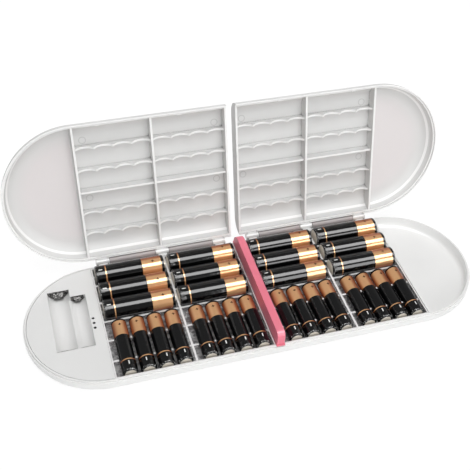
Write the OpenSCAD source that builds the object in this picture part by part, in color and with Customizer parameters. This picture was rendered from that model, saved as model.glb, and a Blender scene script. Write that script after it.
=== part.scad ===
// Battery case with a built-in battery tester, two hinged lids and a centre band.
// The origin is the middle of the base's underside: +X to the right, +Y to the hinges, +Z up.
// The lids are drawn shut and then swung open about their hinge axis.

/* [Cells] */
// Length of an AA cell with its terminal
aa_length = 50.5; // [49:0.1:52]
// Diameter of an AA cell
aa_d = 14.5; // [13.5:0.1:15]
// Length of an AAA cell with its terminal
aaa_length = 44.5; // [43:0.1:46]
// Diameter of an AAA cell
aaa_d = 10.5; // [9.5:0.1:11]
// Rows of AA cells in each column
aa_rows = 3; // [2:1:4]
// AAA cells side by side in each column
aaa_per_column = 4; // [3:1:4]
// Free length beside an AA cell in its row
aa_end_play = 1.4; // [1.2:0.1:2]
// Gap between an AA cell's terminal and its column's right wall
aa_wall_gap = 0.12; // [0.08:0.01:0.3]
// Free width beside an AA cell in its row
aa_side_play = 0.5; // [0.3:0.1:1.5]
// Free length beside an AAA cell
aaa_end_play = 3.3; // [2:0.1:4]
// Distance by which the AAA cells lie closer together than the lid's scallops
aaa_squeeze = 0.9; // [0.6:0.1:1.1]
// Gap between the last AAA cell and its column's right wall
aaa_wall_gap = 1.2; // [0.8:0.1:1.4]
// Diameter of an AA cell's raised terminal
aa_nub_d = 5.5; // [5:0.1:6]
// Height of an AA cell's raised terminal
aa_nub_h = 1.3; // [1:0.1:1.6]
// Diameter of an AAA cell's raised terminal
aaa_nub_d = 3.8; // [3.4:0.1:4.2]
// Height of an AAA cell's raised terminal
aaa_nub_h = 1; // [0.8:0.1:1.3]
// Radius of the sleeve's rolled edge at both ends of a cell
cell_edge_r = 0.8; // [0.5:0.1:1]

/* [Clear trays] */
// Thickness of the walls between the cells
tray_wall = 1.4; // [1:0.1:1.8]
// Thickness of the tray's outer skin
tray_skin = 0.7; // [0.6:0.1:1]
// Thickness of the tray's end walls
tray_end = 0.9; // [0.8:0.1:1.4]
// Depth of the tray walls' top edges below the seam
tray_top_drop = 0.5; // [0.3:0.1:1.5]
// Depth of the wall between the AA and AAA cells below the tray's other walls
divider_drop = 2.2; // [1:0.1:2.6]
// Depth of the low ribs' top edges below the seam
low_rib_drop = 1.5; // [1:0.1:3]
// Clearance between a cell and its cradle
cradle_play = 0.35; // [0.2:0.05:0.6]

/* [Base] */
// Thickness of the base's floor
base_floor = 1.6; // [1.2:0.1:2]
// Thickness of the case's outer wall
case_wall = 2; // [1.9:0.1:2.6]
// Radius of the outer bottom edge
base_round = 5; // [3.5:0.1:6]
// Width of the raised lip round the base
lip_w = 1; // [0.8:0.05:1.1]
// Height of the step outside the lip
step_h = 1.2; // [0.8:0.1:2]
// Distance from the trays to the middle of each round end
dome_shift = 0.9; // [0.4:0.1:3]
// Thickness of the walls across the base
cross_wall = 1.6; // [1.2:0.1:2.2]

/* [Lids] */
// Room above the AA cells when a lid is shut
lid_room = 2; // [1.4:0.1:3]
// Thickness of the lid's roof
lid_roof = 1.8; // [1.4:0.1:2.2]
// Radius of the lid's outer edge
lid_round = 10; // [8:0.1:10.4]
// Radius of the fillet inside the lid
lid_fillet = 9; // [7:0.1:9.4]
// Distance by which the lids' inner edges stand back from the trays' ends
lid_inset = 0.3; // [0.1:0.1:0.8]
// Gap between a shut lid and the base
lid_gap = 0.3; // [0.2:0.05:0.5]
// Opening angle of the lids from shut
open_angle = 105.3; // [95:0.1:120]
// Thickness of the lid's ribs
rib_t = 1.4; // [1:0.1:1.6]
// Depth of the cross ribs' edges inside the lid's rim
rib_drop = 2.2; // [1.8:0.1:3.5]
// Depth of each scallop in a cross rib
scallop_depth = 3.2; // [2:0.1:3.6]
// Width of a snap rib in the lid's front wall
snap_w = 3.2; // [2:0.1:5]

/* [Centre band] */
// Width of the band between the lids
band_w = 5.2; // [4.8:0.1:7]
// Thickness of the band's skin
band_skin = 1.3; // [1.1:0.1:1.5]
// Height of the band above the shut lids
band_proud = 0.6; // [0.3:0.1:1.5]
// Radius of the band's shoulder at the front
band_front_r = 3.8; // [3:0.1:6]
// Radius of the band's shoulder at the hinges
band_back_r = 10.5; // [8:0.1:11]
// Gap between the band and what lies beside it
band_gap = 0.3; // [0.2:0.05:0.5]
// Thickness of the foot over the rim
band_foot_t = 0.9; // [0.6:0.1:1.4]

/* [Hinges] */
// Distance from the case's wall to the hinge axis
hinge_out = 2.9; // [2.8:0.05:4]
// Radius of the hinge knuckles
knuckle_r = 2.4; // [2.1:0.05:2.6]
// Radius of the hinge rods
pin_r = 0.9; // [0.7:0.05:1.1]
// Gap between neighbouring knuckles
knuckle_gap = 0.4; // [0.2:0.05:0.6]
// Length of each short knuckle on the base
short_knuckle = 9.6; // [7:0.1:11]
// Width of the stiffening web in the middle of each short knuckle
web_w = 6.4; // [4:0.1:7]
// Distance from the tray's end by the band to the middle of the first short knuckle
near_inset = 10.3; // [8:0.1:12]
// Distance from the tray's outer end to the middle of the last short knuckle
far_inset = 9.6; // [8:0.1:12]
// Length of the moulding pockets at the ends of the lids' knuckles
pocket_l = 1.6; // [1:0.1:2.5]

/* [Tester] */
// Thickness of the tester's cover
cover_t = 1.6; // [1.2:0.1:2]
// Gap between the cover and the rim
cover_gap = 0.3; // [0.2:0.05:0.5]
// Thickness of the bays' shells
bay_skin = 0.8; // [0.6:0.05:1]
// Gap between the larger bay's underside and the base's floor
bay_floor_gap = 0.05; // [0.05:0.05:0.5]
// Room for the contacts in the AA bay, beside the cell's length
contact_room = 2.8; // [2:0.1:4]
// Room for the contacts in the AAA bay, beside the cell's length
aaa_contact_room = 1.8; // [1.5:0.1:4]
// Distance from the AA bay's back corner to the cover's round edge
bay_margin = 4; // [3.5:0.1:8]
// Width of the land between the bays' right edge and the trays
bay_land = 7.5; // [7.3:0.1:9]
// Width over which the two bays open into each other at the top
bay_merge = 0.95; // [0.7:0.05:1.3]
// Depth of the ridge between the bays below the cover
ridge_drop = 3.9; // [3.4:0.1:4.2]
// Width of the ridge's flat top
ridge_w = 1; // [0.6:0.1:1.4]
// Thickness of the contact metal
contact_t = 0.4; // [0.3:0.05:0.6]
// Radius of an indicator light
led_r = 0.9; // [0.7:0.05:1]
// Distance between the indicator lights
led_pitch = 4.2; // [3:0.1:6]
// Thickness of the circuit board
board_t = 1.2; // [0.8:0.1:1.6]
// Depth of the board in front of the bays
board_depth = 13; // [10:0.5:14]
// Width of the tester's chip
chip_w = 6; // [4:0.5:8]
// Radius of the cover screws' shanks
screw_r = 1.1; // [0.9:0.05:1.3]
// Length of the cover screws
screw_l = 6; // [5:0.1:6.5]
// Distance from the cover's round edge to the screws
boss_inset = 5.5; // [5:0.1:7]

/* [Hidden] */
$fn = 96;
over = 0.6; // how far a rib runs into the wall that carries it

// heights: the base is as deep as the AA bay needs, the lid as deep as an AA cell needs
aa_bay_r = aa_d / 2 + 0.2;
aaa_bay_r = aaa_d / 2 + 0.45;
cover_drop = 0.1;
base_h = base_floor + bay_floor_gap + bay_skin + aa_bay_r + cover_drop;
seam_z = base_h;
tray_floor_z = base_floor + 0.1;
cell_rest_z = tray_floor_z + tray_skin + 0.1;
lid_h = cell_rest_z + aa_d + lid_room + lid_roof - seam_z;
lid_edge_r = min(lid_round, lid_h - lid_gap - 0.3);
aa_axis_z = cell_rest_z + aa_d / 2;
aaa_axis_z = cell_rest_z + aaa_d / 2;
tray_top_z = seam_z - tray_top_drop;
low_rib_z = seam_z - low_rib_drop;
lid_rim_z = seam_z + lid_gap;
lid_roof_z = seam_z + lid_h - lid_roof;

// lengthwise places, all measured to the right from the middle
column_w = aa_length + aa_end_play;
tray_x0 = band_w / 2 + band_gap;
column1_x = tray_x0 + tray_end;
middle_x = column1_x + column_w + tray_wall / 2;
column2_x = middle_x + tray_wall / 2;
tray_x1 = column2_x + column_w + tray_end;
dome_x = tray_x1 + dome_shift;
cross_x = tray_x1 + 0.2;
lid_x0 = tray_x0 + lid_inset;
lid_x1 = tray_x1 - lid_inset;

// places front to back
aa_pitch = aa_d + aa_side_play + tray_wall;
aa_zone = aa_rows * aa_pitch - tray_wall;
aaa_zone = aaa_length + aaa_end_play;
inner_depth = aa_zone + tray_wall + aaa_zone;
inner_y = inner_depth / 2;
divider_y = -inner_y + aaa_zone + tray_wall / 2;
tray_y = inner_y + tray_skin;
case_in = tray_y + 0.2;
case_out = case_in + case_wall;
lip_out = case_in + lip_w;
aaa_y = -inner_y + aaa_zone / 2 - 0.2;
scallop_pitch = column_w / aaa_per_column;
aaa_pitch = scallop_pitch - aaa_squeeze;
cradle_ys = [divider_y - 0.37 * aaa_zone, divider_y - 0.73 * aaa_zone];
function aaa_x(x0, i) = x0 + column_w - aaa_wall_gap - aaa_d / 2 - (aaa_per_column - i) * aaa_pitch;
function aa_y(row) = divider_y + tray_wall / 2 + (row - 0.5) * aa_pitch - tray_wall / 2;
aa_rib_ys = [for (row = [1 : aa_rows - 1]) divider_y + row * aa_pitch];
lid_rib_ys = [cradle_ys[1] + 2.3, cradle_ys[0] + 1.5, divider_y - 0.4,
              aa_rib_ys[0] - 0.2, aa_rib_ys[aa_rows - 2] - 0.2];

// hinge
hinge_y = case_out + hinge_out;
short_xs = [tray_x0 + near_inset, middle_x, tray_x1 - far_inset];

// tester
bay_right = tray_x1 + bay_land;
aaa_bay_x = -(bay_right + aaa_bay_r);
aa_bay_x = aaa_bay_x - aaa_bay_r + bay_merge - aa_bay_r;
cover_z = seam_z - cover_drop;
cover_r = case_in - cover_gap;
aa_bay_back = sqrt(pow(cover_r, 2) - pow(dome_x + aa_bay_x - aa_bay_r, 2)) - bay_margin;
bay_front = aa_length + contact_room - aa_bay_back;
aaa_bay_back = aaa_length + aaa_contact_room - bay_front;
bay_z = cover_z;
board_z = base_floor + 2.6;
board_back = bay_front + bay_skin + 0.8;
led_x = -(bay_right - 1.8);
bays_apart = aaa_bay_x - aa_bay_x;
ridge_x = (pow(bays_apart, 2) + pow(aa_bay_r, 2) - pow(aaa_bay_r, 2)) / (2 * bays_apart);
led_ys = [for (i = [-1 : 1]) i * led_pitch - 1];
boss_angles = [106, 215, 265];
boss_places = [for (a = boss_angles)
    [-dome_x + (cover_r - boss_inset) * cos(a), (cover_r - boss_inset) * sin(a)]];
chip_h = 1.4;

// ---------- shapes that several pieces share ----------

// Half a cross-section of a round-edged tray, from its middle to its wall.
module tray_half(r, h, round_r) {
    intersection() {
        square([r, h]);
        union() {
            square([r - round_r, h]);
            translate([0, round_r]) square([r, h]);
            translate([r - round_r, round_r]) circle(round_r);
        }
    }
}

// A half section turned into a straight run from x0 to x1, on both sides of the middle.
module straight_run(x0, x1) {
    translate([x0, 0, 0]) rotate([90, 0, 90]) linear_extrude(x1 - x0) {
        children();
        mirror([1, 0]) children();
    }
}

// A half section spun into the round end on the right (side 1) or the left (side -1).
module round_end(side) {
    translate([side * dome_x, 0, 0]) rotate([0, 0, side > 0 ? -90 : 90])
        rotate_extrude(angle = 180) children();
}

// A 2D shape drawn in X and Z, made into a plate that is t thick and centred on y.
module plate_at_y(y, t) {
    translate([0, y + t / 2, 0]) rotate([90, 0, 0]) linear_extrude(t) children();
}

// A 2D shape drawn in Y and Z, made into a plate that is t thick and centred on x.
module plate_at_x(x, t) {
    translate([x - t / 2, 0, 0]) rotate([90, 0, 90]) linear_extrude(t) children();
}

module rod_x(x0, x1, r) {
    translate([x0, 0, 0]) rotate([0, 90, 0]) cylinder(h = x1 - x0, r = r);
}

// ---------- base ----------

module base_wall_section() {
    difference() {
        tray_half(case_out, base_h, base_round);
        translate([0, base_floor]) tray_half(case_in, base_h, base_round - 2);
        translate([lip_out, base_h - step_h]) square([case_wall, step_h + 1]);
    }
}

// The hollow inside the base, as a section across it.
module base_hollow_section() {
    translate([0, base_floor - over]) {
        tray_half(case_in + over, base_h, base_round - 2);
        mirror([1, 0]) tray_half(case_in + over, base_h, base_round - 2);
    }
}

module cross_wall_at(x, top_z) {
    plate_at_x(x, cross_wall) intersection() {
        base_hollow_section();
        translate([-case_out, 0]) square([2 * case_out, top_z]);
    }
}

// A short knuckle: its low web clears the shut lid's flange, the tall one fits a notch in it.
module base_knuckle(x) {
    x0 = x - short_knuckle / 2;
    translate([0, hinge_y, seam_z]) rod_x(x0, x0 + short_knuckle, knuckle_r);
    translate([x0, case_out - 1, seam_z - knuckle_r])
        cube([short_knuckle, hinge_out + 1, knuckle_r - step_h]);
    translate([x - web_w / 2, lip_out - 0.6, seam_z - knuckle_r])
        cube([web_w, hinge_y - lip_out + 0.6, knuckle_r]);
}

module base_shell() {
    color("whitesmoke") difference() {
        union() {
            straight_run(-dome_x, dome_x) base_wall_section();
            round_end(1) base_wall_section();
            round_end(-1) base_wall_section();
            // walls between the trays and the round ends
            cross_wall_at(cross_x + cross_wall / 2, seam_z);
            cross_wall_at(-cross_x - cross_wall / 2, cover_z - cover_t - 0.1);
            // ledge that carries the tester's cover
            round_end(-1) translate([case_in - 1.6, base_floor - 0.1])
                square([1.8, cover_z - cover_t - base_floor]);
            // rib that carries the band
            plate_at_x(0, band_w - 2 * band_skin - 0.4) intersection() {
                base_hollow_section();
                translate([-case_out, 0]) square([2 * case_out, seam_z + lid_h - band_skin - 2]);
                translate([-(case_in - band_skin - 3), 0])
                    square([2 * (case_in - band_skin - 3), 2 * base_h + lid_h]);
            }
            for (side = [-1, 1]) for (x = short_xs) base_knuckle(side * x);
        }
        // bores for the hinge rods, blind at the outer ends
        for (side = [-1, 1]) {
            near = short_xs[0] - short_knuckle / 2;
            far = short_xs[2] + short_knuckle / 2 - 1.2;
            x0 = side > 0 ? near - 1 : -far;
            translate([0, hinge_y, seam_z]) rod_x(x0, x0 + far - near + 1, pin_r + 0.03);
        }
        // countersunk holes for the cover screws
        for (p = boss_places) translate([p[0], p[1], 0]) {
            translate([0, 0, -1]) cylinder(h = base_floor + 2, r = screw_r + 0.2);
            translate([0, 0, -0.01]) cylinder(h = 0.9, r1 = 2.4, r2 = 1.5);
        }
    }
}

// ---------- clear trays ----------

module tray_section() {
    difference() {
        translate([0, tray_floor_z]) tray_half(tray_y, tray_top_z - tray_floor_z, base_round - 2.2);
        translate([0, tray_floor_z + tray_skin]) tray_half(inner_y, base_h, base_round - 3);
    }
}

module tray_hollow_section() {
    intersection() {
        translate([0, tray_floor_z + tray_skin - 0.3]) {
            tray_half(inner_y + 0.4, base_h, base_round - 3);
            mirror([1, 0]) tray_half(inner_y + 0.4, base_h, base_round - 3);
        }
        translate([-case_out, 0]) square([2 * case_out, tray_top_z]);
    }
}

module cradle_section() {
    difference() {
        translate([tray_x0 + 0.3, tray_floor_z + 0.3])
            square([tray_x1 - tray_x0 - 0.6, low_rib_z - tray_floor_z - 0.3]);
        for (x0 = [column1_x, column2_x]) for (i = [1 : aaa_per_column])
            translate([aaa_x(x0, i), aaa_axis_z]) circle(aaa_d / 2 + cradle_play);
    }
}

// One tray, at its place on the right; the left one is the same moulding.
module clear_tray() {
    straight_run(tray_x0, tray_x1) tray_section();
    for (x = [tray_x0 + tray_end / 2, tray_x1 - tray_end / 2])
        plate_at_x(x, tray_end) tray_hollow_section();
    plate_at_x(middle_x, tray_wall) tray_hollow_section();
    plate_at_y(divider_y, tray_wall) translate([tray_x0 + 0.3, tray_floor_z + 0.3])
        square([tray_x1 - tray_x0 - 0.6, tray_top_z - divider_drop - tray_floor_z - 0.3]);
    for (y = aa_rib_ys) plate_at_y(y, tray_wall) translate([tray_x0 + 0.3, tray_floor_z + 0.3])
        square([tray_x1 - tray_x0 - 0.6, low_rib_z - tray_floor_z - 0.3]);
    for (y = cradle_ys) plate_at_y(y, tray_wall) cradle_section();
}

module clear_tray_right() {
    color("lightcyan", 0.4) clear_tray();
}

module clear_tray_left() {
    color("lightcyan", 0.4) translate([-tray_x0 - tray_x1, 0, 0]) clear_tray();
}

// ---------- centre band ----------

// The band's side view: a long easy shoulder at the hinges and a short one at the front.
module band_outline(inset) {
    half = case_out - 0.8 - inset;
    top = lid_h + band_proud - inset;
    translate([0, seam_z + top]) mirror([0, 1]) {
        tray_half(half, top, band_back_r - inset);
        mirror([1, 0]) tray_half(half, top, band_front_r - inset);
    }
}

module centre_band() {
    color("lightpink") {
        difference() {
            plate_at_x(0, band_w) band_outline(0);
            plate_at_x(0, band_w - 2 * band_skin) difference() {
                band_outline(band_skin);
                translate([-case_out, seam_z - 1]) square([case_out - case_in + 1.2, 3]);
            }
        }
        // the part of the band that reaches down between the trays
        for (side = [-1, 1]) translate([side * (band_w - band_skin) / 2, 0, 0])
            plate_at_x(0, band_skin) translate([-(case_in - 0.3), seam_z - 4])
                square([2 * (case_in - 0.3), 4.2]);
        // feet over the rim
        foot_w = 2 * (lid_x0 - band_gap);
        for (side = [0, 1]) mirror([0, side, 0])
            translate([-foot_w / 2, -case_out, seam_z + 0.05])
                cube([foot_w, case_wall + 1, band_foot_t]);
    }
}

// ---------- lids ----------

// The lid's half section, drawn shut: the roof is up and the rim is at the seam.
module lid_flip() {
    translate([0, seam_z + lid_h]) mirror([0, 1]) children();
}

module lid_wall_section() {
    depth = lid_h - lid_gap;
    difference() {
        union() {
            lid_flip() tray_half(case_out, depth, lid_edge_r);
            translate([lip_out + 0.2, seam_z - step_h + lid_gap])
                square([case_out - lip_out - 0.2, step_h + 0.1]);
        }
        lid_flip() translate([0, lid_roof]) tray_half(case_in, lid_h + step_h, lid_fillet);
    }
}

module lid_hollow_section(low_z) {
    intersection() {
        lid_flip() translate([0, lid_roof - over]) {
            tray_half(case_in + over, lid_h, lid_fillet);
            mirror([1, 0]) tray_half(case_in + over, lid_h, lid_fillet);
        }
        translate([-case_out, low_z]) square([2 * case_out, lid_h]);
    }
}

// A cross rib's edge: a row of scallops that arch over the cells.
module scalloped_section() {
    chord = scallop_pitch - 0.8;
    arc_r = (chord * chord / 4 + scallop_depth * scallop_depth) / (2 * scallop_depth);
    difference() {
        straight_rib_section();
        for (x0 = [column1_x, column2_x]) for (i = [0 : aaa_per_column - 1])
            translate([x0 + (i + 0.5) * scallop_pitch, lid_rim_z + rib_drop + scallop_depth - arc_r])
                circle(arc_r);
    }
}

module straight_rib_section() {
    translate([lid_x0 + 0.8, lid_rim_z + rib_drop])
        square([lid_x1 - lid_x0 - 0.8, lid_roof_z + 0.4 - lid_rim_z - rib_drop]);
}

// The right-hand lid, shut; the left one is its mirror image.
module shut_lid() {
    difference() {
        union() {
            straight_run(lid_x0, dome_x) lid_wall_section();
            round_end(1) lid_wall_section();
            // edge beside the band, and the ribs along the columns
            for (x = [lid_x0 + rib_t / 2, middle_x, lid_x1]) plate_at_x(x, rib_t)
                lid_hollow_section(lid_rim_z);
            for (i = [0, 1, 3, 4]) plate_at_y(lid_rib_ys[i], rib_t) scalloped_section();
            plate_at_y(lid_rib_ys[2], rib_t) straight_rib_section();
            // snap ribs inside the front wall
            for (x = [lid_x0 + 0.64 * column_w, column2_x + 0.68 * column_w])
                translate([x - snap_w / 2, -case_in - 0.3, lid_rim_z + 0.2])
                    cube([snap_w, 0.9, 3.4]);
            // long knuckles between the base's short ones
            for (i = [0, 1]) {
                x0 = short_xs[i] + short_knuckle / 2 + knuckle_gap;
                x1 = short_xs[i + 1] - short_knuckle / 2 - knuckle_gap;
                translate([0, hinge_y, seam_z]) rod_x(x0, x1, knuckle_r);
                difference() {
                    translate([x0, case_out - 1, lid_rim_z])
                        cube([x1 - x0, hinge_out + 1, knuckle_r - lid_gap]);
                    for (x = [x0 - 1, x1 - pocket_l])
                        translate([x, case_out - 0.1, lid_rim_z - 1])
                            cube([pocket_l + 1, hinge_out - 0.8 * knuckle_r + 0.1, 2.3]);
                }
            }
        }
        translate([0, hinge_y, seam_z]) rod_x(lid_x0, dome_x, pin_r + 0.06);
        // notches in the flange for the base's tall webs
        for (x = short_xs) translate([x - web_w / 2 - 0.4, lip_out, seam_z - step_h])
            cube([web_w + 0.8, case_out - lip_out + 1, step_h + lid_gap]);
    }
}

module swing_open() {
    translate([0, hinge_y, seam_z]) rotate([-open_angle, 0, 0])
        translate([0, -hinge_y, -seam_z]) children();
}

module right_lid() {
    color("white") swing_open() shut_lid();
}

module left_lid() {
    color("white") swing_open() mirror([1, 0, 0]) shut_lid();
}

module hinge_rod(side) {
    near = short_xs[0] - short_knuckle / 2;
    far = short_xs[2] + short_knuckle / 2 - 1.4;
    color("silver") translate([0, hinge_y, seam_z])
        rod_x(side > 0 ? near : -far, side > 0 ? far : -near, pin_r);
}

// ---------- tester ----------

module bay_shell(x, r, back) {
    translate([x, back + bay_skin, bay_z]) rotate([90, 0, 0])
        linear_extrude(back + bay_front + 2 * bay_skin) intersection() {
            circle(r + bay_skin);
            translate([-r - bay_skin, -r - bay_skin]) square([2 * (r + bay_skin), r + bay_skin]);
        }
}

module bay_hollow(x, r, back) {
    translate([x, back, bay_z]) rotate([90, 0, 0]) linear_extrude(back + bay_front) circle(r);
}

// The space above the ridge, where the two bays open into each other.
module over_the_ridge() {
    flank_down = ridge_drop + 0.8;
    aa_side_x = sqrt(pow(aa_bay_r, 2) - pow(flank_down, 2)) - 0.6;
    aaa_side_x = bays_apart - sqrt(pow(aaa_bay_r, 2) - pow(flank_down, 2)) + 0.6;
    translate([aa_bay_x, aaa_bay_back, bay_z]) rotate([90, 0, 0])
        linear_extrude(aaa_bay_back + bay_front)
            polygon([[0, 1], [aa_side_x, -flank_down], [ridge_x - ridge_w / 2, -ridge_drop],
                     [ridge_x + ridge_w / 2, -ridge_drop], [aaa_side_x, -flank_down],
                     [bays_apart, 1]]);
}

module tester_cover() {
    color("white") difference() {
        union() {
            // D-shaped plate with its straight edge at the trays
            translate([0, 0, cover_z - cover_t]) linear_extrude(cover_t) {
                intersection() {
                    translate([-dome_x, 0]) circle(cover_r);
                    translate([-dome_x - cover_r, -cover_r]) square([cover_r, 2 * cover_r]);
                }
                translate([-dome_x - 0.1, -cover_r]) square([dome_x - cross_x + 0.1, 2 * cover_r]);
            }
            bay_shell(aa_bay_x, aa_bay_r, aa_bay_back);
            bay_shell(aaa_bay_x, aaa_bay_r, aaa_bay_back);
            // bosses that the screws hold from below
            for (p = boss_places) translate([p[0], p[1], base_floor + 0.1])
                cylinder(h = cover_z - cover_t / 2 - base_floor, r = 2.6);
        }
        bay_hollow(aa_bay_x, aa_bay_r, aa_bay_back);
        bay_hollow(aaa_bay_x, aaa_bay_r, aaa_bay_back);
        over_the_ridge();
        for (y = led_ys) translate([led_x, y, cover_z - cover_t - 1])
            cylinder(h = cover_t + 2, r = led_r + 0.1);
        for (p = boss_places) translate([p[0], p[1], base_floor])
            cylinder(h = screw_l + 0.8 - base_floor, r = screw_r + 0.02);
    }
}

// A flat contact at the front of a bay, with a round button that meets the cell.
module front_contact(x, r) {
    color("silver") {
        translate([x - r * 0.7, -bay_front + 0.1, bay_z - r * 0.68])
            cube([r * 1.4, contact_t, r * 0.68]);
        translate([x, -bay_front + 0.1 + contact_t - 0.1, bay_z - r * 0.35]) rotate([-90, 0, 0])
            cylinder(h = 0.5, r = r * 0.24);
    }
}

// A sprung contact at the back of a bay: a plate in the bay's own shape with a bowed leaf.
module spring_contact(x, r, back, half_w) {
    leaf_w = 0.9 * r;
    leaf_r = 0.36 * r;
    plate_y = back - 0.1;
    color("silver") {
        translate([x, plate_y, bay_z]) rotate([90, 0, 0]) linear_extrude(contact_t) intersection() {
            circle(r - 0.15);
            translate([-half_w, -r]) square([2 * half_w, r - 0.3]);
        }
        translate([x - leaf_w / 2, plate_y - contact_t + 0.1, bay_z - 0.5 * r])
            rotate([90, 0, 90]) linear_extrude(leaf_w) difference() {
                circle(leaf_r);
                circle(leaf_r - contact_t);
                translate([0, -leaf_r]) square(2 * leaf_r);
            }
    }
}

module aa_front_contact() {
    front_contact(aa_bay_x, aa_bay_r);
}

module aaa_front_contact() {
    front_contact(aaa_bay_x, aaa_bay_r);
}

module aa_spring_contact() {
    spring_contact(aa_bay_x, aa_bay_r, aa_bay_back, aa_bay_r - 0.15);
}

module aaa_spring_contact() {
    spring_contact(aaa_bay_x, aaa_bay_r, aaa_bay_back, aaa_bay_r - bay_merge - 0.3);
}

// The board lies in front of the bays, with an arm along their right side for the lights.
module tester_board() {
    arm_x0 = -(bay_right + 0.8);
    arm_x1 = -(cross_x + cross_wall + 0.6);
    board_x0 = aa_bay_x - aa_bay_r / 2;
    color("seagreen") translate([0, -board_back - board_depth, board_z])
        linear_extrude(board_t) {
            translate([board_x0, 0]) square([arm_x1 - board_x0, board_depth]);
            translate([arm_x0, 0]) square([arm_x1 - arm_x0, board_depth + board_back + led_ys[2] + 3]);
        }
}

module board_chip() {
    color("black")
        translate([aa_bay_x + aa_bay_r / 2, -board_back - board_depth / 2 - chip_w / 2,
                   board_z + board_t])
            cube([chip_w, chip_w - 1, chip_h]);
}

module indicator_lights() {
    color("dimgray") for (y = led_ys) translate([led_x, y, board_z + board_t])
        cylinder(h = cover_z - 0.3 - board_z - board_t, r = led_r);
}

module cover_screws() {
    color("gray") for (p = boss_places) translate([p[0], p[1], 0]) {
        translate([0, 0, 0.1]) cylinder(h = 0.8, r1 = 2.2, r2 = screw_r);
        translate([0, 0, 0.1]) cylinder(h = screw_l, r = screw_r);
    }
}

// ---------- cells ----------

// Half the outline of a turned solid whose two rims are rounded.
module turned(r, z0, z1, edge) {
    translate([0, z0]) square([r - edge, z1 - z0]);
    translate([0, z0 + edge]) square([r, z1 - z0 - 2 * edge]);
    for (z = [z0 + edge, z1 - edge]) translate([r - edge, z]) circle(edge);
}

// A cell standing on its negative end: the sleeve is rolled over both rims, the negative disc
// stands out a little, and a crimp groove runs round the raised terminal.
module cell(length, d, nub_d, nub_h) {
    body_h = length - nub_h;
    disc_h = 0.3;
    rotate_extrude() difference() {
        union() {
            turned(d / 2, disc_h, body_h, cell_edge_r);
            turned(0.41 * d, 0, body_h / 2, 0.2);
            turned(nub_d / 2, body_h / 2, length, 0.4);
        }
        translate([nub_d / 2 + 0.9, body_h]) circle(0.5);
    }
}

function column_x(c) = c == 1 ? -column2_x - column_w : c == 2 ? -column1_x - column_w
    : c == 3 ? column1_x : column2_x;

// the cells of column 2 point at the left lid's band wall, which comes down over their tips
function aa_tip_gap(c) = aa_wall_gap + (c == 2 ? lid_x0 + rib_t - column1_x : 0);

module aa_cell(c, row) {
    color("darkslategray")
        translate([column_x(c) + aa_end_play - aa_tip_gap(c), aa_y(row), aa_axis_z])
            rotate([0, 90, 0]) cell(aa_length, aa_d, aa_nub_d, aa_nub_h);
}

module aaa_cell(c, i) {
    color("darkslategray")
        translate([aaa_x(column_x(c), i), aaa_y - aaa_length / 2, aaa_axis_z])
            rotate([-90, 0, 0]) cell(aaa_length, aaa_d, aaa_nub_d, aaa_nub_h);
}

base_shell();
tester_cover();
clear_tray_left();
clear_tray_right();
centre_band();
left_lid();
right_lid();
hinge_rod(-1);  // left_hinge_rod
hinge_rod(1);  // right_hinge_rod
aa_spring_contact();
aaa_spring_contact();
aa_front_contact();
aaa_front_contact();
tester_board();
board_chip();
indicator_lights();
cover_screws();
for (c = [1 : 4]) for (row = [1 : aa_rows])
    aa_cell(c, row);
for (c = [1 : 4]) for (i = [1 : aaa_per_column])
    aaa_cell(c, i);
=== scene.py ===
import math
import bmesh
import bpy
from mathutils import Matrix, Vector


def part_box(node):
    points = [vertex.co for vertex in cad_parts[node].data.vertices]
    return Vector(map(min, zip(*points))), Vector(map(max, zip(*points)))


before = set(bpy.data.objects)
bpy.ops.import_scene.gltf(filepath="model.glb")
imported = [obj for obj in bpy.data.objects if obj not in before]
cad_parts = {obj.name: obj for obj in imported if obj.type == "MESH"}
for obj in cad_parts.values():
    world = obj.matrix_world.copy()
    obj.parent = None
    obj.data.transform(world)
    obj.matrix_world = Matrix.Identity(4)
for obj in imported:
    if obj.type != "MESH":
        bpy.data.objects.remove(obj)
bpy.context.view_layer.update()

# Camera: stands to the left of the case and looks down at it, on a 61 mm lens.
# It is level enough that the open lids show their insides.
camera_data = bpy.data.cameras.new("camera")
camera_data.sensor_width = 36
camera_data.lens = 60.92
camera_data.clip_start = 0.01
camera = bpy.data.objects.new("camera", camera_data)
right = Vector((0.95697, -0.28647, 0.04627))
up = Vector((0.16619, 0.67177, 0.72190))
back = Vector((-0.23788, -0.68312, 0.69048))
camera.matrix_world = Matrix.Translation((-0.14226, -0.35302, 0.42530)) @ Matrix(
    (right, up, back)).transposed().to_4x4()
bpy.context.scene.collection.objects.link(camera)
bpy.context.scene.camera = camera


# Studio: three soft lamps light the colours, from overhead, low at the front and behind. Two
# glare panels show only in the glossy film and metal, as pale stripes along the cells.
def softbox(name, at, towards, width, height, power, mirrored):
    data = bpy.data.lights.new(name, "AREA")
    data.shape = "RECTANGLE"
    data.size = width
    data.size_y = height
    data.energy = power
    lamp = bpy.data.objects.new(name, data)
    lamp.location = at
    lamp.rotation_euler = (Vector(towards) - Vector(at)).to_track_quat("-Z", "Y").to_euler()
    lamp.visible_glossy = mirrored
    lamp.visible_diffuse = not mirrored
    bpy.context.scene.collection.objects.link(lamp)


softbox("overhead_lamp", at=(0.08, -0.12, 0.86), towards=(0, 0, 0.02),
        width=0.9, height=0.9, power=5.2, mirrored=False)
softbox("front_lamp", at=(-0.02, -0.72, 0.26), towards=(0, -0.05, 0.03),
        width=0.8, height=0.3, power=2.2, mirrored=False)
softbox("back_lamp", at=(0.0, 0.80, 0.42), towards=(0, 0.08, 0.05),
        width=0.9, height=0.4, power=2.4, mirrored=False)
softbox("overhead_glare", at=(0.15, -0.25, 0.80), towards=(0.15, 0, 0),
        width=1.0, height=0.50, power=16.0, mirrored=True)
softbox("front_glare", at=(0.435, -0.81, 0.30), towards=(0.435, 0, 0),
        width=0.53, height=0.51, power=6.0, mirrored=True)


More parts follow.
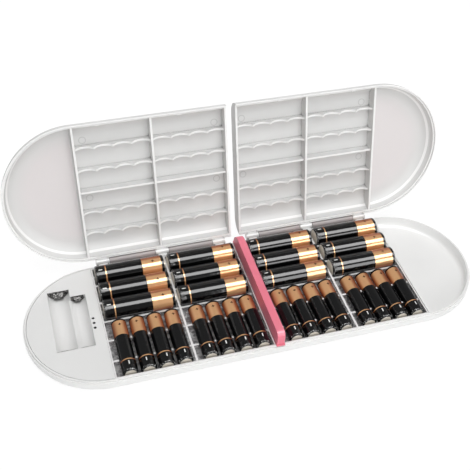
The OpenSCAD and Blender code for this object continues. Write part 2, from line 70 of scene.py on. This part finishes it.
def linear(colour):
    """An sRGB hex colour as the linear colour that a socket takes."""
    parts = [int(colour[i:i + 2], 16) / 255 for i in (1, 3, 5)]
    return tuple(p / 12.92 if p <= 0.04045 else ((p + 0.055) / 1.055) ** 2.4 for p in parts) + (1,)


def add(tree, kind, inputs=(), **settings):
    """Adds a node with its settings. An input takes a constant, a socket, or another node,
    which stands for its first output in use."""
    node = tree.nodes.new("ShaderNode" + kind)
    for name, value in settings.items():
        setattr(node, name, value)
    for key, value in dict(inputs).items():
        if isinstance(value, bpy.types.Node):
            value = next(output for output in value.outputs if output.enabled)
        if isinstance(value, bpy.types.NodeSocket):
            tree.links.new(value, node.inputs[key])
        else:
            node.inputs[key].default_value = value
    return node


world = bpy.data.worlds.new("studio")
bpy.context.scene.world = world
world.use_nodes = True
tree = world.node_tree
tree.nodes.clear()
path = add(tree, "LightPath")
room = add(tree, "Background", {"Color": linear("#ffffff"), "Strength": 0.30})
backdrop = add(tree, "Background", {"Color": linear("#ffffff"), "Strength": 1.0})
either = add(tree, "MixShader", {0: path.outputs["Is Camera Ray"], 1: room, 2: backdrop})
add(tree, "OutputWorld", {"Surface": either})

# Floor: a plain white table under a sheet of matt paper, wide enough to fill every view.
# It glows white to the camera and in glossy parts, and still takes a soft shadow.
floor_half_width = 4.0
floor_drop = 0.0001
glow_share = 0.86
bm = bmesh.new()
bmesh.ops.create_grid(bm, x_segments=1, y_segments=1, size=floor_half_width)
bmesh.ops.translate(bm, verts=bm.verts, vec=(0, 0, -floor_drop))
mesh = bpy.data.meshes.new("floor")
bm.to_mesh(mesh)
bm.free()
floor = bpy.data.objects.new("floor", mesh)
bpy.context.scene.collection.objects.link(floor)
paper = bpy.data.materials.new("white_table_paper")
paper.use_nodes = True
tree = paper.node_tree
tree.nodes.clear()
path = add(tree, "LightPath")
seen = add(tree, "Math", {0: path.outputs["Is Camera Ray"], 1: path.outputs["Is Transmission Ray"]},
           operation="MAXIMUM")
seen = add(tree, "Math", {0: seen, 1: path.outputs["Is Glossy Ray"]}, operation="MAXIMUM")
share = add(tree, "Math", {0: seen, 1: glow_share}, operation="MULTIPLY")
matt = add(tree, "BsdfDiffuse", {"Color": linear("#f4f4f4")})
glow = add(tree, "Emission", {"Color": linear("#ffffff"), "Strength": 1.06})
mixed = add(tree, "MixShader", {0: share, 1: matt, 2: glow})
add(tree, "OutputMaterial", {"Surface": mixed})
mesh.materials.append(paper)


# Base shell: one ABS moulding, white, from a mould whose faces were spark-eroded satin.
# It shows as a soft even white, with broad dull highlights on its round edges.
def finish_node(name, material):
    """Gives a carried-over CAD node its material."""
    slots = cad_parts[name].data.materials
    slots.clear()
    slots.append(material)


def new_material(name):
    """An empty material, and its place in millimetres to draw patterns on."""
    material = bpy.data.materials.new(name)
    material.use_nodes = True
    tree = material.node_tree
    tree.nodes.clear()
    place = add(tree, "TexCoord")
    mm = add(tree, "Mapping", {"Vector": place.outputs["Object"], "Scale": (1000, 1000, 1000)})
    return material, tree, mm


def moulded_abs(name, pale, deep, gloss, marks=None, under_clear=False):
    """Moulded ABS. Its colour clouds over 40 mm where the melt flowed, its grit is drawn half a
    millimetre wide because the real tenth would not show, and its colour is darkened in creases and
    narrow gaps, a painted shade. Marks, if given, alters the colour by place. A moulding under
    clear parts takes the painted shade from its own creases only, because light reaches it through
    them."""
    material, tree, mm = new_material(name)
    cloud = add(tree, "TexNoise", {"Vector": mm, "Scale": 0.025, "Detail": 2.0})
    body = add(tree, "ValToRGB", {"Fac": cloud})
    for stop, position, colour in zip(body.color_ramp.elements, (0.35, 0.65), (deep, pale)):
        stop.position = position
        stop.color = linear(colour)
    if marks:
        body = marks(tree, mm, body)
    # painted shade: ambient occlusion darkens the colour in creases and narrow gaps
    crease_shade = add(tree, "AmbientOcclusion", {"Distance": 0.0022}, samples=6,
                 only_local=under_clear)
    depth = add(tree, "MapRange", {"Value": crease_shade.outputs["AO"], "From Min": 0.10,
                                   "From Max": 0.60, "To Min": 0.20})
    shaded = add(tree, "VectorMath", {0: body, "Scale": depth}, operation="SCALE")
    grit = add(tree, "TexNoise", {"Vector": mm, "Scale": 1.6, "Detail": 3.0})
    dull = add(tree, "MapRange", {"Value": grit, "To Min": gloss - 0.05, "To Max": gloss + 0.06})
    relief = add(tree, "Bump", {"Height": grit, "Strength": 0.08, "Distance": 0.00004})
    skin = add(tree, "BsdfPrincipled", {"Base Color": shaded, "Roughness": dull,
                                        "Normal": relief, "IOR": 1.53})
    add(tree, "OutputMaterial", {"Surface": skin})
    return material


finish_node("base_shell", moulded_abs("satin_white_abs", "#eeeeed", "#ebebea", gloss=0.36,
                                      under_clear=True))

# Tester cover: the same ABS, moulded with its two bays and screwed down from below.
# It lies a little below the rim, with a thin gap round it, made darker by the painted crease shade.
finish_node("tester_cover", moulded_abs("satin_white_abs_cover", "#e6e6e5", "#e3e3e2",
                                        gloss=0.42))

# Indicator lights: cast epoxy lamps, unlit, standing on the board in the cover's holes.
# They look like black glass, because the lens is smooth and the smoked body takes the light.
epoxy, tree, mm = new_material("smoked_epoxy_lens")
haze = add(tree, "TexNoise", {"Vector": mm, "Scale": 1.2})
tint = add(tree, "Mix", {"Factor": haze, "A": linear("#0e0e0e"), "B": linear("#1c1c1c")},
           data_type="RGBA")
lens = add(tree, "BsdfPrincipled", {"Base Color": tint, "Roughness": 0.12, "IOR": 1.55})
add(tree, "OutputMaterial", {"Surface": lens})
finish_node("indicator_lights", epoxy)


# Bay contacts: thin spring steel, bent on a press, nickel plated and pushed into the bays' ends.
# The bent leaves are rumpled, and their nickel is painted dark and mottled, a painted reflection of
# the bay and the dark cells. The flat plates at the front are paler.
def nickel_plate(name, dark, pale, dent_depth):
    """Nickel plating with dents and stains about a millimetre wide, toned between dark and pale;
    the leaves' dark tones are a painted reflection.
    """
    material, tree, mm = new_material(name)
    dents = add(tree, "TexNoise", {"Vector": mm, "Scale": 0.95, "Detail": 4.0})
    stain_and_reflection = add(tree, "ValToRGB", {"Fac": dents})
    for stop, position, colour in zip(stain_and_reflection.color_ramp.elements, (0.40, 0.62), (dark, pale)):
        stop.position = position
        stop.color = linear(colour)
    relief = add(tree, "Bump", {"Height": dents, "Strength": 1.0, "Distance": dent_depth})
    plate = add(tree, "BsdfPrincipled", {"Base Color": stain_and_reflection, "Metallic": 1.0,
                                         "Roughness": 0.30, "Normal": relief})
    add(tree, "OutputMaterial", {"Surface": plate})
    return material


# the leaves' nickel: painted dark, a painted reflection of the bay and the dark cells
leaf_nickel_painted_dark = nickel_plate("rumpled_nickel_on_spring_steel", "#242426", "#8c8b89", 0.0009)
for name in ("aa_spring_contact", "aaa_spring_contact"):
    finish_node(name, leaf_nickel_painted_dark)
flat_nickel = nickel_plate("flat_nickel_on_steel", "#b9b8b6", "#dad9d7", 0.0001)
for name in ("aa_front_contact", "aaa_front_contact"):
    finish_node(name, flat_nickel)

# Tester board: woven glass laminate under green solder mask, hidden below the cover, with a chip
# soldered to it.
# The weave shows faintly through the mask, and the chip is black moulded epoxy with a fine speck.
mask, tree, mm = new_material("green_solder_mask")
weave = add(tree, "TexChecker", {"Vector": mm, "Scale": 1.5, "Color1": linear("#14532f"),
                                 "Color2": linear("#17603a")})
laminate = add(tree, "BsdfPrincipled", {"Base Color": weave, "Roughness": 0.35})
add(tree, "OutputMaterial", {"Surface": laminate})
finish_node("tester_board", mask)
resin, tree, mm = new_material("moulded_black_epoxy")
speck = add(tree, "TexNoise", {"Vector": mm, "Scale": 6.0})
tint = add(tree, "Mix", {"Factor": speck, "A": linear("#151515"), "B": linear("#262626")},
           data_type="RGBA")
block = add(tree, "BsdfPrincipled", {"Base Color": tint, "Roughness": 0.6})
add(tree, "OutputMaterial", {"Surface": block})
finish_node("board_chip", resin)

# Clear trays: polystyrene, injection moulded in a polished mould, and dropped into the base.
# The walls are nearly invisible; their top edges are painted white and more opaque, a painted
# highlight, and the floor has cloudy patches some millimetres wide, a painted reflection over its
# rippled skin.
upward_least = 0.9
wall_tops_above = 6.5
edge_cover, most_cover = 0.75, 0.85
styrene, tree, mm = new_material("clear_polystyrene")
facing = add(tree, "NewGeometry")
turned = add(tree, "SeparateXYZ", {0: facing.outputs["True Normal"]})
height = add(tree, "SeparateXYZ", {0: mm})
is_top = add(tree, "Math", {0: turned.outputs["Z"], 1: upward_least}, operation="GREATER_THAN")
is_high = add(tree, "Math", {0: height.outputs["Z"], 1: wall_tops_above},
              operation="GREATER_THAN")
# painted highlight: the wall tops, facing up, are painted white and more opaque
painted_lit_edge = add(tree, "Math", {0: is_top, 1: is_high}, operation="MULTIPLY")
ripple = add(tree, "TexNoise", {"Vector": mm, "Scale": 0.35, "Detail": 2.0})
# painted reflection: cloudy patches of opacity over the ripples
painted_reflection_patches = add(tree, "MapRange", {"Value": ripple, "From Min": 0.42, "From Max": 0.64,
                                "To Min": 0.12, "To Max": 0.55})
cover = add(tree, "Math", {0: painted_lit_edge, 1: edge_cover, 2: painted_reflection_patches}, operation="MULTIPLY_ADD")
cover = add(tree, "Math", {0: cover, 1: most_cover}, operation="MINIMUM")
relief = add(tree, "Bump", {"Height": ripple, "Strength": 0.8, "Distance": 0.0012})
tint = add(tree, "Mix", {"Factor": painted_lit_edge, "A": linear("#a9a6a8"), "B": linear("#fbf9f9")},
           data_type="RGBA")
pane = add(tree, "BsdfPrincipled", {"Base Color": tint, "Roughness": 0.07, "IOR": 1.59,
                                    "Normal": relief, "Alpha": cover})
add(tree, "OutputMaterial", {"Surface": pane})
for name in ("clear_tray_left", "clear_tray_right"):
    finish_node(name, styrene)

# Centre band: pink ABS, moulded satin like the base and clipped over the seam between the trays.
# Its top is pale where the overhead light lies on it and its side is a deep red.
finish_node("centre_band", moulded_abs("satin_pink_abs", "#ee7e92", "#e9768b", gloss=0.40))


# Lids: white ABS, moulded ribbed inside and smooth outside, and hung on steel rods.
# The inside was blasted dull and is ringed by the pins that pushed it out of its mould. Its body is
# painted a greyer white than the base, a painted shade. Its rib edges are painted whiter, a painted
# highlight, a painted glow lightens the thin round end, and the hinge barrels are painted grey, a
# painted shade.
def distance(tree, one, other):
    """How far a place lies from an axis, from its two distances square to each other."""
    corner = add(tree, "CombineXYZ", {0: one, 1: other})
    return add(tree, "VectorMath", {0: corner}, operation="LENGTH")


def lid_marks(tree, mm, body):
    """The lid's colour by place, in mm, as the lid stands when drawn. Depth goes into the lid
    and height goes up it, both from the hinge axis, and side goes out from the case's middle."""
    lean = math.radians(15.3)
    hinge_axis = Vector((0, 54.3, 10.0))
    inwards = Vector((0, math.cos(lean), -math.sin(lean)))
    upwards = Vector((0, math.sin(lean), math.cos(lean)))
    rib_depth, roof_depth = 6.3, 9.9  # a little past the ribs' edges and the roof's inner face
    dome_side, dome_height = 110.8, 54.3
    last_rib_side = 111.2
    lit_within, dull_from = 33.0, 45.0
    between_columns, pin_aside = 56.4, 46.3
    pin_height, pin_pitch = 91.0, 43.5
    lowest_pin = 30.0
    pin_radius, ring_half_width = 2.3, 0.3
    barrel_radius = 3.15
    outward_least = 0.55

    def reach(direction):
        along = add(tree, "VectorMath", {0: mm, 1: direction}, operation="DOT_PRODUCT")
        return add(tree, "Math", {0: along, 1: direction.dot(hinge_axis)}, operation="SUBTRACT")

    depth, height = reach(inwards), reach(upwards)
    place = add(tree, "SeparateXYZ", {0: mm})
    side = add(tree, "Math", {0: place.outputs["X"]}, operation="ABSOLUTE")

    # faces that look out of the lid: all of them, and the edges of ribs and rim, which get a
    # painted highlight
    facing = add(tree, "NewGeometry")
    own = add(tree, "VectorTransform", {0: facing.outputs["True Normal"]}, vector_type="NORMAL",
              convert_from="WORLD", convert_to="OBJECT")
    outward = add(tree, "VectorMath", {0: own, 1: -inwards}, operation="DOT_PRODUCT")
    looks_out = add(tree, "Math", {0: outward, 1: outward_least}, operation="GREATER_THAN")
    shallow = add(tree, "Math", {0: depth, 1: roof_depth}, operation="LESS_THAN")
    inside = add(tree, "Math", {0: looks_out, 1: shallow}, operation="MULTIPLY")
    at_edge = add(tree, "Math", {0: depth, 1: rib_depth}, operation="LESS_THAN")
    painted_lit_edge = add(tree, "Math", {0: looks_out, 1: at_edge}, operation="MULTIPLY")

    # a painted glow of light through the thin round end, palest at its middle
    past_dome = add(tree, "Math", {0: side, 1: dome_side}, operation="SUBTRACT")
    over_dome = add(tree, "Math", {0: height, 1: dome_height}, operation="SUBTRACT")
    painted_end_glow = add(tree, "MapRange", {"Value": distance(tree, past_dome, over_dome),
                                 "From Min": dull_from, "From Max": lit_within})
    in_end = add(tree, "Math", {0: side, 1: last_rib_side}, operation="GREATER_THAN")
    painted_end_glow = add(tree, "Math", {0: painted_end_glow, 1: in_end}, operation="MULTIPLY")
    painted_end_glow = add(tree, "Math", {0: inside, 1: painted_end_glow}, operation="MULTIPLY")

    # the rings of the pins, in two rows near both ends of the ribbed part
    aside = add(tree, "Math", {0: side, 1: between_columns}, operation="SUBTRACT")
    aside = add(tree, "Math", {0: aside}, operation="ABSOLUTE")
    aside = add(tree, "Math", {0: aside, 1: pin_aside}, operation="SUBTRACT")
    above = add(tree, "Math", {0: height, 1: pin_height}, operation="SUBTRACT")
    above = add(tree, "Math", {0: above, 1: pin_pitch / 2, 2: -pin_pitch / 2}, operation="WRAP")
    ring = add(tree, "Math", {0: distance(tree, aside, above), 1: pin_radius,
                              2: ring_half_width}, operation="COMPARE")
    is_row = add(tree, "Math", {0: height, 1: lowest_pin}, operation="GREATER_THAN")
    ring = add(tree, "Math", {0: ring, 1: is_row}, operation="MULTIPLY")
    ring = add(tree, "Math", {0: inside, 1: ring}, operation="MULTIPLY")

    # painted shade: the hinge barrels are painted grey
    painted_barrel_shade = add(tree, "Math", {0: distance(tree, depth, height), 1: barrel_radius},
                 operation="LESS_THAN")
    # colours by place: the end's painted glow, the pin rings, the edges' painted highlight and the
    # barrels' painted shade
    for where, colour in ((painted_end_glow, "#dfdada"), (ring, "#c4c4c3"), (painted_lit_edge, "#f4f4f3"),
                          (painted_barrel_shade, "#b6adad")):
        body = add(tree, "Mix", {"Factor": where, "A": body, "B": linear(colour)},
                   data_type="RGBA")
    return body


# the lid's body is a greyer copy of the base's white ABS, a painted shade
lid_abs = moulded_abs("blasted_white_abs", "#dadad9", "#d6d6d5", gloss=0.62, marks=lid_marks)
for name in ("left_lid", "right_lid"):
    finish_node(name, lid_abs)

# Hinge rods and cover screws: drawn steel wire and cold-headed screws, both zinc plated.
# Drawing lines run along the rods, drawn a quarter of a millimetre apart because the real ones
# are too fine to show, and they stretch the highlights lengthwise.
zinc, tree, mm = new_material("zinc_plated_steel")
drawn = add(tree, "Mapping", {"Vector": mm, "Scale": (0.06, 4, 4)})
lines = add(tree, "TexNoise", {"Vector": drawn, "Scale": 1.0, "Detail": 2.0})
tint = add(tree, "Mix", {"Factor": lines, "A": linear("#8d8f92"), "B": linear("#b9bbbe")},
           data_type="RGBA")
wire = add(tree, "BsdfPrincipled", {"Base Color": tint, "Metallic": 1.0, "Roughness": 0.3})
add(tree, "OutputMaterial", {"Surface": wire})
for name in ("left_hinge_rod", "right_hinge_rod", "cover_screws"):
    finish_node(name, zinc)


# Cells: steel cans in a printed film sleeve, shrunk over both rims: black, with a copper band
# short of the terminal, a thin copper line near the other end, and a plus and a minus.
# The film is very glossy, and its copper ink is half-dull metal with a painted sheen: its colour is
# painted pale where it faces the eye and deep red at a slant.
def cell_sleeve(name, along, across, start, end, first, pitch, axis_z, turn, film):
    """Film for a row of like cells that lie side by side. Every place is in mm: the cells run
    from start to end on one axis, and stand a pitch apart on the other. Turn is how far the
    printed marks lie from the cells' crowns, and each cell differs a little from it."""
    material, tree, mm = new_material(name)
    place = add(tree, "SeparateXYZ", {0: mm})
    from_start = add(tree, "Math", {0: place.outputs[along], 1: start}, operation="SUBTRACT")
    to_end = add(tree, "Math", {0: end, 1: place.outputs[along]}, operation="SUBTRACT")
    over = add(tree, "Math", {0: place.outputs[across], 1: first}, operation="SUBTRACT")
    aside = add(tree, "Math", {0: over, 1: pitch / 2, 2: -pitch / 2}, operation="WRAP")
    rise = add(tree, "Math", {0: place.outputs["Z"], 1: axis_z}, operation="SUBTRACT")
    radius = distance(tree, aside, rise)

    # every cell's own turn in its sleeve
    turn_scatter = 0.9
    which = add(tree, "Math", {0: over, 1: pitch}, operation="DIVIDE")
    which = add(tree, "Math", {0: which}, operation="ROUND")
    chance = add(tree, "TexWhiteNoise", {"W": which}, noise_dimensions="1D")
    roll = add(tree, "MapRange", {"Value": chance, "To Min": turn - turn_scatter,
                                  "To Max": turn + turn_scatter})

    # bare steel: the terminal and the disc at the other end
    cap_length, disc_length = film["terminal_height"] + 0.55, 0.28
    at_cap = add(tree, "Math", {0: to_end, 1: cap_length}, operation="LESS_THAN")
    in_cap = add(tree, "Math", {0: radius, 1: film["cap_radius"]}, operation="LESS_THAN")
    is_cap = add(tree, "Math", {0: at_cap, 1: in_cap}, operation="MULTIPLY")
    at_disc = add(tree, "Math", {0: from_start, 1: disc_length}, operation="LESS_THAN")
    in_disc = add(tree, "Math", {0: radius, 1: film["disc_radius"]}, operation="LESS_THAN")
    is_disc = add(tree, "Math", {0: at_disc, 1: in_disc}, operation="MULTIPLY")
    is_steel = add(tree, "Math", {0: is_disc, 1: is_cap}, operation="MAXIMUM")

    # the print: band and line, and the two marks on the upper half of the cell
    band_middle = (film["band_from"] + film["band_to"]) / 2
    band_half_width = (film["band_from"] - film["band_to"]) / 2
    line_half_width = 0.4
    plus_half, plus_stroke, minus_half, minus_stroke = 1.0, 0.30, 1.3, 0.36
    band = add(tree, "Math", {0: to_end, 1: band_middle, 2: band_half_width},
               operation="COMPARE")
    line = add(tree, "Math", {0: from_start, 1: film["line_at"], 2: line_half_width},
               operation="COMPARE")
    is_copper = add(tree, "Math", {0: band, 1: line}, operation="MAXIMUM")
    on_top = add(tree, "Math", {0: rise, 1: 0.0}, operation="GREATER_THAN")

    def stroke(run, at, half_length, half_width):
        """One printed bar, lengthwise and sideways of the place where it is."""
        lengthwise = add(tree, "Math", {0: run, 1: at, 2: half_length}, operation="COMPARE")
        sideways = add(tree, "Math", {0: aside, 1: roll, 2: half_width}, operation="COMPARE")
        both = add(tree, "Math", {0: lengthwise, 1: sideways}, operation="MULTIPLY")
        return add(tree, "Math", {0: both, 1: on_top}, operation="MULTIPLY")

    is_plus = add(tree, "Math", {0: stroke(to_end, film["plus_at"], plus_half, plus_stroke),
                                 1: stroke(to_end, film["plus_at"], plus_stroke, plus_half)},
                  operation="MAXIMUM")
    is_minus = stroke(from_start, film["minus_at"], minus_half, minus_stroke)

    # the copper ink's painted sheen, pale where it faces the eye and deep red at a slant, its tone
    # varied at random by wear
    rub = add(tree, "TexNoise", {"Vector": mm, "Scale": 0.35, "Detail": 3.0})
    slope = add(tree, "LayerWeight", {"Blend": 0.5})
    painted_sheen = add(tree, "ValToRGB", {"Fac": slope.outputs["Facing"]})
    painted_sheen.color_ramp.elements.new(0.43)
    for stop, position, colour in zip(painted_sheen.color_ramp.elements, (0.25, 0.43, 0.85),
                                      ("#dfad7d", "#ab6a47", "#752f18")):
        stop.position = position
        stop.color = linear(colour)
    worn = add(tree, "MapRange", {"Value": rub, "To Min": 0.94, "To Max": 1.04})
    sheen_and_wear = add(tree, "VectorMath", {0: painted_sheen, "Scale": worn}, operation="SCALE")
    copper = add(tree, "Mix", {"Factor": is_plus, "A": sheen_and_wear, "B": linear("#4a2415")},
                 data_type="RGBA")

    # the black film, puckered where it shrank over the rim at the flat end, with painted
    # highlights: pale flecks painted on the deepest puckers
    puckered_to, smooth_from = 0.8, 4.2
    fleck_depth, fleck_paleness, pucker_height = 0.60, 0.50, 24.0
    pleat = add(tree, "TexNoise", {"Vector": mm, "Scale": 1.3, "Detail": 2.0})
    shrunk = add(tree, "MapRange", {"Value": from_start, "From Min": smooth_from,
                                    "From Max": puckered_to})
    pleats = add(tree, "Math", {0: pleat, 1: shrunk}, operation="MULTIPLY")
    painted_glint = add(tree, "Math", {0: pleats, 1: fleck_depth}, operation="GREATER_THAN")
    painted_glint = add(tree, "Math", {0: painted_glint, 1: fleck_paleness}, operation="MULTIPLY")
    white = add(tree, "Math", {0: is_minus, 1: painted_glint}, operation="MAXIMUM")
    colour = add(tree, "Mix", {"Factor": white, "A": linear("#070708"), "B": linear("#f2f2f0")},
                 data_type="RGBA")
    colour = add(tree, "Mix", {"Factor": is_copper, "A": colour, "B": copper},
                 data_type="RGBA")
    colour = add(tree, "Mix", {"Factor": is_steel, "A": colour, "B": linear("#f3ebdd")},
                 data_type="RGBA")

    # one skin for all: the ink and the handled steel are part metal, and duller than the film
    ink_metal, steel_metal = 0.35, 0.2
    film_gloss, ink_gloss, steel_extra = 0.09, 0.17, 0.22
    from_ink = add(tree, "Math", {0: is_copper, 1: ink_metal}, operation="MULTIPLY")
    from_steel = add(tree, "Math", {0: is_steel, 1: steel_metal}, operation="MULTIPLY")
    metal = add(tree, "Math", {0: from_ink, 1: from_steel}, operation="MAXIMUM")
    dull = add(tree, "MapRange", {"Value": is_copper, "To Min": film_gloss,
                                  "To Max": ink_gloss})
    dull = add(tree, "Math", {0: is_steel, 1: steel_extra, 2: dull}, operation="MULTIPLY_ADD")
    wave = add(tree, "TexNoise", {"Vector": mm, "Scale": 0.30, "Detail": 2.0})
    swell = add(tree, "Math", {0: pleats, 1: pucker_height, 2: wave},
                operation="MULTIPLY_ADD")
    relief = add(tree, "Bump", {"Height": swell, "Strength": 0.10, "Distance": 0.0004})
    skin = add(tree, "BsdfPrincipled", {"Base Color": colour, "Metallic": metal,
                                        "Roughness": dull, "Normal": relief, "IOR": 1.48})
    add(tree, "OutputMaterial", {"Surface": skin})
    return material


aa_film = {"band_from": 17.3, "band_to": 3.4, "line_at": 7.4, "plus_at": 9.4, "minus_at": 3.8,
           "terminal_height": 1.3, "cap_radius": 4.2, "disc_radius": 5.8}
aaa_film = {"band_from": 14.8, "band_to": 2.8, "line_at": 8.9, "plus_at": 6.2, "minus_at": 5.9,
            "terminal_height": 1.0, "cap_radius": 3.35, "disc_radius": 3.9}
for column, aa_turn in ((1, -1.9), (2, 0.0), (3, 0.0), (4, 0.0)):
    low, high = (corner * 1000 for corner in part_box(f"aa_cell_{column}_1"))
    next_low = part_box(f"aa_cell_{column}_2")[0] * 1000
    sleeve = cell_sleeve(f"printed_film_aa_{column}", "X", "Y", start=low.x, end=high.x,
                         first=(low.y + high.y) / 2, pitch=next_low.y - low.y,
                         axis_z=(low.z + high.z) / 2, turn=aa_turn, film=aa_film)
    for row in (1, 2, 3):
        finish_node(f"aa_cell_{column}_{row}", sleeve)
    low, high = (corner * 1000 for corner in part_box(f"aaa_cell_{column}_1"))
    next_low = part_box(f"aaa_cell_{column}_2")[0] * 1000
    sleeve = cell_sleeve(f"printed_film_aaa_{column}", "Y", "X", start=low.y, end=high.y,
                         first=(low.x + high.x) / 2, pitch=next_low.x - low.x,
                         axis_z=(low.z + high.z) / 2, turn=0.0, film=aaa_film)
    for place_in_row in (1, 2, 3, 4):
        finish_node(f"aaa_cell_{column}_{place_in_row}", sleeve)

bpy.context.scene.view_settings.view_transform = "Standard"
